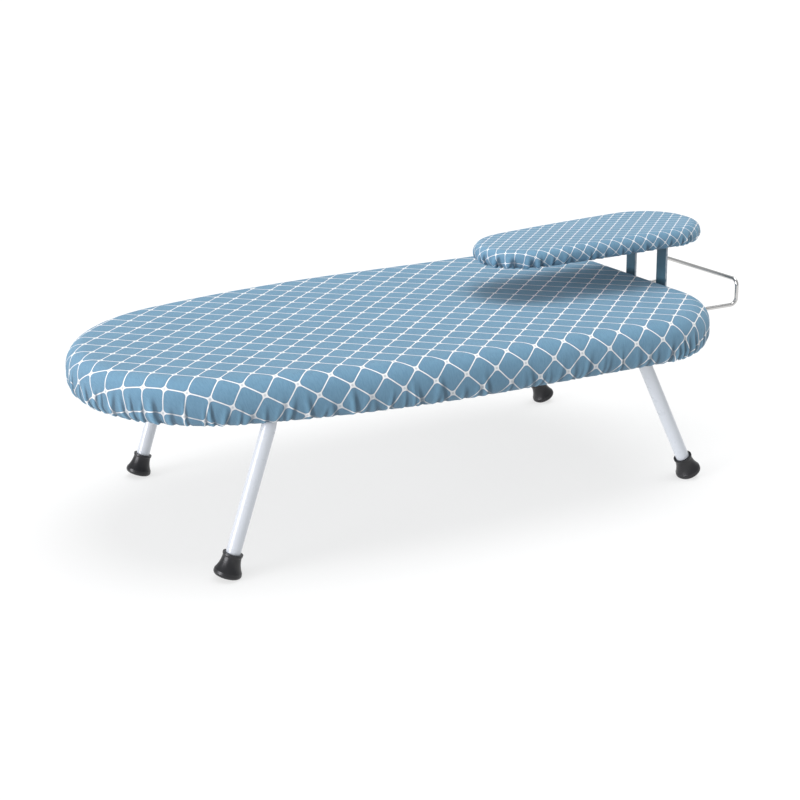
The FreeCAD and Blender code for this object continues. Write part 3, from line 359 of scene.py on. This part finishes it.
def moulded(name, colour, rough, grain):
    """Rubber or plastic from a lightly grained mould, paler where it rubs on the table."""
    look = Look(name, Specular_IOR_Level=0.45)
    place = look.where()
    low = look.span(look.node("SeparateXYZ", place).outputs[2], 0.0, 0.004, 0.6, 0.0)
    dust = look.math("MULTIPLY", low, look.span(look.noise(place, 260.0, 4.0), 0.4, 0.7))
    look.set("Base Color", look.mix(dust, colour, tuple(c + 0.05 for c in colour)))
    look.set("Roughness", look.span(look.noise(place, 160.0, 3.0), 0.3, 0.7, rough - 0.06, rough + 0.08))
    look.set("Normal", look.bump(look.noise(place, 2200.0, 2.0), grain))
    return look.material


def bare_metal(name, colour, rough, streaks):
    """Plated steel with fine drawn streaks and a slightly uneven polish."""
    look = Look(name, Metallic=1.0)
    place = look.where()
    drawn = look.noise(look.vector("MULTIPLY", place, streaks), 60.0, 3.0)
    look.set("Base Color", look.mix(look.span(drawn, 0.3, 0.7), tuple(c * 0.9 for c in colour), colour))
    look.set("Roughness", look.span(look.noise(place, 120.0), 0.3, 0.7, rough - 0.04, rough + 0.07))
    look.set("Normal", look.bump(drawn, 0.00002))
    return look.material


def slate_paint(name):
    """Slate-blue paint on flat bar, paler in patches on its narrow faces, the ones that look along Y."""
    look = Look(name, Coat_Weight=0.3, Coat_Roughness=0.2)
    place = look.where()
    facing = look.node("SeparateXYZ", look.node("TexCoord").outputs["Normal"]).outputs[1]
    edge = look.span(look.math("ABSOLUTE", facing), 0.6, 0.85, 0.0, 0.8, smooth=True)
    patch = look.span(look.noise(place, 140.0, 3.0), 0.35, 0.55)
    cloudy = look.span(look.noise(place, 45.0), 0.3, 0.7)
    tone = look.mix(cloudy, (0.070, 0.150, 0.200), (0.082, 0.172, 0.228))
    look.set("Base Color", look.mix(look.math("MULTIPLY", edge, patch), tone, (0.46, 0.50, 0.54)))
    look.set("Roughness", look.span(look.noise(place, 90.0), 0.3, 0.7, 0.34, 0.46))
    look.set("Normal", look.bump(look.noise(place, 600.0, 2.0), 0.00004))
    return look.material


def felt(name):
    """Needled felt, mottled by its fibres."""
    look = Look(name, Roughness=0.95, Sheen_Weight=0.3)
    place = look.where()
    fibres = look.noise(look.vector("MULTIPLY", place, (1.0, 3.0, 1.0)), 700.0, 5.0, 0.7)
    look.set("Base Color", look.mix(fibres, (0.52, 0.52, 0.50), (0.80, 0.79, 0.76)))
    look.set("Normal", look.bump(fibres, 0.0004))
    return look.material


def thread(name):
    """White buttonhole thread."""
    look = Look(name, Roughness=0.75, Sheen_Weight=0.2)
    place = look.where()
    twist = look.noise(place, 1800.0, 2.0)
    look.set("Base Color", look.mix(twist, (0.60, 0.62, 0.64), (0.86, 0.87, 0.88)))
    look.set("Normal", look.bump(twist, 0.0001))
    return look.material


def braid(name):
    """A round white cord braided from eight strands, with painted shade in the gaps between them."""
    look = Look(name, Roughness=0.8, Sheen_Weight=0.2)
    cloth = look.node("Attribute", attribute_name="cloth").outputs["Vector"]
    lay = look.node("SeparateXYZ", look.vector("MULTIPLY", cloth, (2 * math.pi / 0.0035, 4.0, 0.0)))
    one = look.math("SINE", look.math("ADD", lay.outputs[0], lay.outputs[1]))
    other = look.math("SINE", look.math("SUBTRACT", lay.outputs[0], lay.outputs[1]))
    strands = look.math("MAXIMUM", one, other)
    # painted shade: the gaps between the strands are darker
    look.set("Base Color", look.mix(look.span(strands, -0.4, 1.0), (0.42, 0.43, 0.45), (0.80, 0.81, 0.82)))
    look.set("Normal", look.bump(strands, 0.0003))
    return look.material


# ---------------------------------------------------------------- covers, pads and cords

def to_frame(points, origin, droop):
    """Points from a board's own frame to the model's: a turn about Y, nose down, then a move."""
    c, s = math.cos(droop), math.sin(droop)
    x, y, z = points[:, 0], points[:, 1], points[:, 2]
    return np.column_stack([x * c - z * s + origin[0], y + origin[1], x * s + z * c + origin[2]])


def add_attribute(obj, name, values):
    """A number or a vector at each point, for the piece's material to read."""
    values = np.ascontiguousarray(values, dtype=np.float32)
    kind, key = ("FLOAT_VECTOR", "vector") if values.ndim == 2 else ("FLOAT", "value")
    layer = obj.data.attributes.new(name, kind, "POINT")
    layer.data.foreach_set(key, values.ravel())


class Cover:
    """A fitted cotton cover: flat on top, over the shoulder, down the side and in round the cord."""

    def __init__(self, name, plan, top, section, spacing, origin, droop, seed):
        self.name, self.origin, self.droop = name, origin, droop
        self.outline, self.normals, self.spine = plan.stations(spacing)
        self.count = len(self.outline)
        self.step = plan.around / self.count
        path, self.side_length, self.cord = section
        self.section, self.along = resample(path, COVER_RING)
        self.top = top
        self.start = self.outline - self.normals * self.section[0, 0]
        self.side_rings = int(np.searchsorted(self.along, self.side_length))
        turning = np.linalg.norm(np.roll(self.normals, -1, axis=0) - self.normals, axis=1) / self.step
        reach = TURNING_STATIONS // 2
        wrapped = np.concatenate([turning[-reach:], turning, turning[:reach]])
        self.turning = np.convolve(wrapped, np.ones(TURNING_STATIONS) / TURNING_STATIONS, "valid")
        self.random = np.random.default_rng(seed)

    def rings(self):
        """The band's smooth points, ring by ring, in the board's own frame."""
        made = []
        for inset, drop in self.section:
            flat = self.outline - self.normals * inset
            made.append(np.column_stack([flat, np.full(self.count, self.top - drop)]))
        return np.array(made)

    def outward(self, rings):
        """Unit normals of the band, from its rings."""
        down = np.gradient(rings, axis=0)
        across = np.roll(rings, -1, axis=1) - np.roll(rings, 1, axis=1)
        facing = np.cross(down, across)
        facing /= np.maximum(np.linalg.norm(facing, axis=2, keepdims=True), 1e-12)
        shoulder_up = np.sign(np.sum(facing[2, :, 2]))
        return facing * shoulder_up

    def slack(self):
        """How much spare cloth each point has, from 0 to 1: most near the hem, where the outline turns."""
        share = np.clip((self.along - self.side_length * SLACK_FROM) / (self.side_length * SLACK_RISE), 0, 1)
        share = share * share * (3 - 2 * share)
        hold = np.clip((self.along[-1] - self.along) / (self.along[-1] - self.side_length), 0, 1)
        bend = np.clip(LEAST_SLACK + (1 - LEAST_SLACK) * self.turning * TURNING_FULL, 0, 1)
        return share[:, None] * hold[:, None] ** 0.5 * bend[None, :]

    def below_shoulder(self):
        """How far down the side each ring lies: 0 as far as PAINTED_SHADE_FROM, 1 from where the casing starts."""
        share = np.clip((self.along / self.side_length - PAINTED_SHADE_FROM) / (1 - PAINTED_SHADE_FROM), 0, 1)
        return share[:, None]

    def puckers(self):
        """Short creases that rise from the hem, unevenly spaced, as a height from -1 to 1."""
        field = np.zeros((len(self.section), self.count))
        place = np.arange(self.count) * self.step
        around = self.count * self.step
        at = 0.0
        while at < around:
            width = self.random.uniform(*CREASE_WIDTH)
            depth = self.random.uniform(*CREASE_STRENGTH)
            rise = self.random.uniform(*CREASE_RISE)
            lean = self.random.uniform(-CREASE_LEAN, CREASE_LEAN)
            from_hem = (self.side_length - self.along)[:, None]
            middle = at + lean * from_hem
            away = (place[None, :] - middle + around / 2) % around - around / 2
            fade = np.clip(1 - from_hem / rise, 0, 1) ** CREASE_FADE
            field -= depth * fade * np.exp(-(away / width) ** 2)
            beside = away - width * RIDGE_PLACE
            field += RIDGE_HEIGHT * depth * fade * np.exp(-(beside / (width * RIDGE_WIDTH)) ** 2)
            at += self.random.uniform(*CREASE_GAP)
        return np.clip(field, -1, 1)

    def gathered(self):
        """The band with its spare cloth gathered, and its painted shade: darker towards the hem and in the
        creases' valleys.

        Creases come first, and then cloth simulation lets them settle.
        """
        smooth = self.rings()
        facing = self.outward(smooth)
        slack = self.slack()
        creases = self.puckers() * slack
        # painted shade: darker down the side towards the hem and in each crease's valley
        shade = np.clip(HEM_PAINTED_SHADE * self.below_shoulder() - CREASE_PAINTED_SHADE * creases, 0, 1)
        lift = creases * CREASE_DEPTH
        creased = smooth + facing * lift[:, :, None]
        settled = self.simulate(creased, slack)
        moved = settled - smooth
        far = np.linalg.norm(moved, axis=2, keepdims=True)
        return smooth + moved * np.minimum(1.0, CREASE_CAP / np.maximum(far, 1e-9)), shade

    def simulate(self, rings, slack):
        """Blender's cloth on the band, at SIM_SCALE times its size: spare cloth grows in and buckles."""
        obj = mesh_object(self.name + "_simulation", rings.reshape(-1, 3) * SIM_SCALE,
                          ring_faces(len(rings), self.count))
        held = obj.vertex_groups.new(name="held")
        grown = obj.vertex_groups.new(name="grown")
        weight = slack.ravel()
        ring = np.repeat(np.arange(len(rings)), self.count)
        free = (self.along > self.side_length * HELD_SHARE) & (np.arange(len(rings)) < self.side_rings)
        fixed = np.flatnonzero(~free[ring])
        held.add(fixed.tolist(), 1.0, "REPLACE")
        for level in range(1, 11):
            members = np.flatnonzero(np.round(weight * 10) == level)
            if len(members):
                grown.add(members.tolist(), level / 10, "REPLACE")
        cloth = obj.modifiers.new("cloth", "CLOTH")
        settings = cloth.settings
        settings.quality = 6
        settings.mass = 0.2
        settings.tension_stiffness = settings.compression_stiffness = 20
        settings.shear_stiffness = 8
        settings.bending_stiffness = 0.15
        settings.air_damping = 4
        settings.vertex_group_mass = "held"
        settings.vertex_group_shrink = "grown"
        settings.shrink_min = 0.0
        settings.shrink_max = -SPARE_CLOTH
        settings.effector_weights.gravity = 0.0
        cloth.collision_settings.use_collision = False
        cloth.collision_settings.use_self_collision = False
        scene = bpy.context.scene
        cloth.point_cache.frame_start, cloth.point_cache.frame_end = 1, SIM_FRAMES
        for frame_number in range(1, SIM_FRAMES + 1):
            scene.frame_set(frame_number)
        evaluated = obj.evaluated_get(bpy.context.evaluated_depsgraph_get())
        settled = np.empty(len(evaluated.data.vertices) * 3)
        evaluated.data.vertices.foreach_get("co", settled)
        scene.frame_set(1)
        bpy.data.objects.remove(obj)
        return settled.reshape(rings.shape) / SIM_SCALE

    def make(self, holes=()):
        """The finished cover. holes are (point, radius) pairs in the model's frame, left open."""
        flat_rings, cloth = [], []
        for ring in range(TOP_RINGS):
            share = (ring / TOP_RINGS) ** TOP_SPREAD
            flat = self.spine + (self.start - self.spine) * share
            flat_rings.append(np.column_stack([flat, np.full(self.count, self.top)]))
            cloth.append(flat)
        for distance in self.along:
            cloth.append(self.start + self.normals * distance)
        band, band_painted_shade = self.gathered()
        points = np.vstack(flat_rings + list(band))
        points = to_frame(points, self.origin, self.droop)
        rings = TOP_RINGS + len(self.section)
        faces = ring_faces(rings, self.count)
        slit_from = (TOP_RINGS + self.side_rings + 1) * self.count
        tail = points[:, 0].max() - CASING_SLIT
        open_faces = []
        for face in faces:
            middle = points[list(face)].mean(axis=0)
            in_slit = face[0] >= slit_from and abs(middle[1]) < CASING_SLIT / 2 and middle[0] > tail
            in_hole = any(np.linalg.norm(middle - place) < radius for place, radius in holes)
            if not in_slit and not in_hole:
                open_faces.append(face)
        obj = mesh_object(self.name, points, open_faces)
        add_attribute(obj, "cloth", np.column_stack([np.vstack(cloth), np.zeros(len(points))]))
        # the painted shade for the material, none on the flat top
        add_attribute(obj, "shade", np.concatenate([np.zeros(TOP_RINGS * self.count), band_painted_shade.ravel()]))
        return obj

    def cut_size(self):
        """The flat cloth it was cut from: width, length and area."""
        edge = self.start + self.normals * self.along[-1]
        beyond = np.roll(edge, -1, axis=0)
        area = abs(np.sum(edge[:, 0] * beyond[:, 1] - edge[:, 1] * beyond[:, 0])) / 2
        width, length = np.ptp(edge[:, 1]), np.ptp(edge[:, 0])
        return (float(width), float(length)), float(area)


def make_ring(name, cover, plan):
    """The draw cord in a cover's casing, with places along it and round it for its braid."""
    outline, normals, _ = plan.stations(CORD_STEP)
    count = len(outline)
    along = np.arange(count) * plan.around / count
    inset, level = cover.cord[0], cover.top - cover.cord[1]
    rows, places = [], []
    for side in range(CORD_SIDES):
        angle = 2 * math.pi * side / CORD_SIDES
        flat = outline - normals * (inset + CORD_RADIUS * math.cos(angle))
        rows.append(np.column_stack([flat, np.full(count, level + CORD_RADIUS * math.sin(angle))]))
        places.append(np.column_stack([along, np.full(count, angle), np.zeros(count)]))
    faces = ring_faces(CORD_SIDES, count)
    last = (CORD_SIDES - 1) * count
    faces += [(last + i, last + (i + 1) % count, (i + 1) % count, i) for i in range(count)]
    obj = mesh_object(name, to_frame(np.vstack(rows), cover.origin, cover.droop), faces)
    add_attribute(obj, "cloth", np.vstack(places))
    return obj


def make_pad(name, plan, inset, bottom, top, spacing, origin, droop):
    """A felt pad: a closed slab with a soft rounded edge and a slightly uneven top."""
    outline, normals, spine = plan.stations(spacing)
    edge = outline - normals * inset
    count = len(outline)
    tall = top - bottom
    round_off = [(math.sin(t), math.cos(t)) for t in np.linspace(0, math.pi, PAD_EDGE_RINGS)]
    flats = [spine + (edge - normals * tall / 2 - spine) * (ring / PAD_RINGS) for ring in range(PAD_RINGS)]
    rows = [np.column_stack([flat, np.full(count, top)]) for flat in flats]
    for out, up in round_off:
        flat = edge - normals * (tall / 2) * (1 - out)
        rows.append(np.column_stack([flat, np.full(count, bottom + tall / 2 * (1 + up))]))
    rows += [np.column_stack([flat, np.full(count, bottom)]) for flat in reversed(flats)]
    points = np.vstack(rows)
    for point in points[:PAD_RINGS * count]:
        point[2] -= PAD_UNEVEN * (0.5 + 0.5 * noise.noise(Vector(point) * PAD_WAVES))
    return mesh_object(name, to_frame(points, origin, droop), ring_faces(len(rows), count))


def make_eyelets(name, places, radius, binding):
    """Bound eyelets, where the arms of the iron rest come out through the cover's tail."""
    points, faces = [], []
    around, across = 2 * EYELET_STITCHES, EYELET_SIDES
    for place in places:
        first = len(points)
        for i in range(around):
            turn = 2 * math.pi * i / around
            whip = binding * (1 + STITCH_RELIEF * math.cos(turn * EYELET_STITCHES))
            for j in range(across):
                angle = 2 * math.pi * j / across
                reach = radius + whip * math.cos(angle)
                points.append((place[0] + whip * BINDING_DEPTH * math.sin(angle),
                               place[1] + reach * math.cos(turn),
                               place[2] + reach * math.sin(turn)))
        for i in range(around):
            for j in range(across):
                a, b = first + i * across, first + (i + 1) % around * across
                faces.append((a + j, b + j, b + (j + 1) % across, a + (j + 1) % across))
    return mesh_object(name, points, faces)


# the main board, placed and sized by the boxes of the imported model
board_low, board_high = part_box("board_cover")
board_middle = (board_low.x + board_high.x) / 2
board_reach = (board_high.x - board_low.x) / 2
BOARD_ORIGIN = (board_middle, 0, 0)
BOARD_DEPTH = 0.0415                # from the ironing surface to the bottom of the hem's curl
board_plan = Plan(nose=-board_reach, tail=board_reach, half=board_high.y,
                  side_radius=0.860, taper_end=0.041, corner=0.100)
board_section = wrap_section(BOARD_DEPTH, shoulder=0.018, hem=0.014, hem_turn=math.radians(58))
guide_low, guide_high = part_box("rest_guide_left")
arm_y = (guide_low.y + guide_high.y) / 2
arm_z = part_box("iron_rest_wire")[0].z + ARM_RADIUS
eyelets = [(board_high.x + EYELET_PROUD, side * arm_y, arm_z) for side in (1, -1)]
board = Cover("board_cover_cloth", board_plan, board_high.z, board_section, STATION, BOARD_ORIGIN,
              droop=0.0, seed=11)
board_cover = board.make([(np.array(place), EYELET_HOLE) for place in eyelets])

# the sleeve board, in its own frame under its deck
SLEEVE_DROOP = math.radians(1.7)
SLEEVE_ORIGIN = (board_middle + 0.310, 0, 0.2244)
SLEEVE_TOP = 0.0072                 # above the underside of the sleeve deck
sleeve_plan = Plan(nose=-0.202, tail=0.050, half=0.060, side_radius=1.400, taper_end=-0.010, corner=0.056)
sleeve_section = wrap_section(0.0175, shoulder=0.0095, hem=0.0075, hem_turn=math.radians(80))
sleeve = Cover("sleeve_cover_cloth", sleeve_plan, SLEEVE_TOP, sleeve_section, STATION, SLEEVE_ORIGIN,
               droop=SLEEVE_DROOP, seed=23)
sleeve_cover = sleeve.make()

pad_low, pad_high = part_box("board_pad")
board_pad = make_pad("board_pad_felt", board_plan, inset=0.0185, bottom=pad_low.z, top=pad_high.z,
                     spacing=0.004, origin=BOARD_ORIGIN, droop=0.0)
sleeve_pad = make_pad("sleeve_pad_felt", sleeve_plan, inset=0.0095, bottom=0.0012, top=0.0050,
                      spacing=0.003, origin=SLEEVE_ORIGIN, droop=SLEEVE_DROOP)
board_cord = make_ring("board_cord_braid", board, board_plan)
sleeve_cord = make_ring("sleeve_cord_braid", sleeve, sleeve_plan)
rest_eyelets = make_eyelets("rest_eyelets", eyelets, EYELET_RADIUS, EYELET_BINDING)

board_cotton = net_cloth("board_net_cotton", cell=0.02074, crossing=(0.0253, 0.0193))
sleeve_cotton = net_cloth("sleeve_net_cotton", cell=0.0103, crossing=(0.0, 0.0))
felt_look, braid_look = felt("needled_felt"), braid("braided_cord")
for piece, body, node, look, slot in (
        (board_cover, "board", "board_cover", board_cotton, "print_cloth"),
        (sleeve_cover, "sleeve_board", "sleeve_cover", sleeve_cotton, "print_cloth"),
        (board_pad, "board", "board_pad", felt_look, "felt"),
        (sleeve_pad, "sleeve_board", "sleeve_pad", felt_look, "felt"),
        (board_cord, "board", "board_draw_cord", braid_look, "draw_cord"),
        (sleeve_cord, "sleeve_board", "sleeve_draw_cord", braid_look, "draw_cord"),
        (rest_eyelets, "board", None, thread("eyelet_thread"), "draw_cord")):
    piece.data.materials.append(look)
    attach(piece, body)
    if node:
        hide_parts(node)
for cover, piece, under in ((board, board_cover, [board_pad, "deck_rim"]),
                            (sleeve, sleeve_cover, [sleeve_pad, "sleeve_deck"])):
    cut, area = cover.cut_size()
    print(f"{piece.name}: cut {cut[0]:.3f} x {cut[1]:.3f} m, {area:.4f} m2")

# ---------------------------------------------------------------- materials of the CAD pieces

finishes = {
    "grey_steel": powder_coat("grey_powder_coat", (0.40, 0.42, 0.44), 0.42, 0.00004),
    "white_tube": powder_coat("white_powder_coat", (0.60, 0.63, 0.675), 0.30, 0.00001),
    "black_rubber": moulded("black_rubber", (0.012, 0.012, 0.014), 0.34, 0.00003),
    "black_plastic": moulded("black_nylon", (0.020, 0.020, 0.022), 0.45, 0.00003),
    "chrome_wire": bare_metal("chrome", (0.62, 0.61, 0.60), 0.15, (0.3, 1.0, 1.0)),
    "slate_paint": slate_paint("slate_paint"),
    "zinc": bare_metal("zinc", (0.62, 0.63, 0.65), 0.32, (1.0, 1.0, 1.0)),
}
for subpart in frame["record"]["subparts"]:
    finish = finishes.get(subpart["material_slot"])
    obj = frame["nodes"][subpart["node"]]
    if finish is not None:
        obj.data.materials.clear()
        obj.data.materials.append(finish)


# ---------------------------------------------------------------- studio

def studio():
    """A white floor in a pale room, under a broad overhead light, with more light on the nose."""
    reach = 60
    corners = [(-reach, -reach, 0), (reach, -reach, 0), (reach, reach, 0), (-reach, reach, 0)]
    floor = mesh_object("floor", corners, [(0, 1, 2, 3)])
    look = Look("floor", Roughness=0.9, Specular_IOR_Level=0.1, Base_Color=(0.34, 0.34, 0.34),
                Emission_Color=(1.0, 1.0, 0.995), Emission_Strength=0.66)
    floor.data.materials.append(look.material)

    world = bpy.data.worlds.new("studio")
    bpy.context.scene.world = world
    world.use_nodes = True
    backdrop = world.node_tree.nodes["Background"]
    backdrop.inputs["Color"].default_value = (0.96, 0.98, 1.0, 1.0)
    backdrop.inputs["Strength"].default_value = 0.56

    lamps = (("overhead", 1.62, 48, (1.0, 1.0, 1.0), (0.20, 0.06, 0.975)),
             ("nose_fill", 3.0, 35, (0.97, 0.96, 1.0), (-0.985, -0.10, 0.13)))
    for name, energy, angle, colour, source in lamps:
        sun = bpy.data.lights.new(name, "SUN")
        sun.energy = energy
        sun.angle = math.radians(angle)
        sun.color = colour
        lamp = bpy.data.objects.new(name, sun)
        lamp.rotation_euler = Vector(source).to_track_quat("Z", "Y").to_euler()
        bpy.context.scene.collection.objects.link(lamp)
    bpy.context.scene.view_settings.view_transform = "Standard"


def camera():
    """The eye stands off the nose's right side, a little above the board."""
    heading, pitch, roll = math.radians(-25.5), math.radians(-18.47), math.radians(1.43)
    data = bpy.data.cameras.new("camera")
    data.lens = 62.86
    data.sensor_width = 36.0
    data.clip_end = 200.0
    eye = bpy.data.objects.new("camera", data)
    eye.location = (board_middle - 0.5503, -1.1895, 0.5224)
    level = math.cos(pitch)
    ahead = Vector((-math.sin(heading) * level, math.cos(heading) * level, math.sin(pitch)))
    eye.rotation_mode = "QUATERNION"
    eye.rotation_quaternion = Quaternion(ahead, roll) @ ahead.to_track_quat("-Z", "Y")
    bpy.context.scene.collection.objects.link(eye)
    bpy.context.scene.camera = eye


studio()
camera()
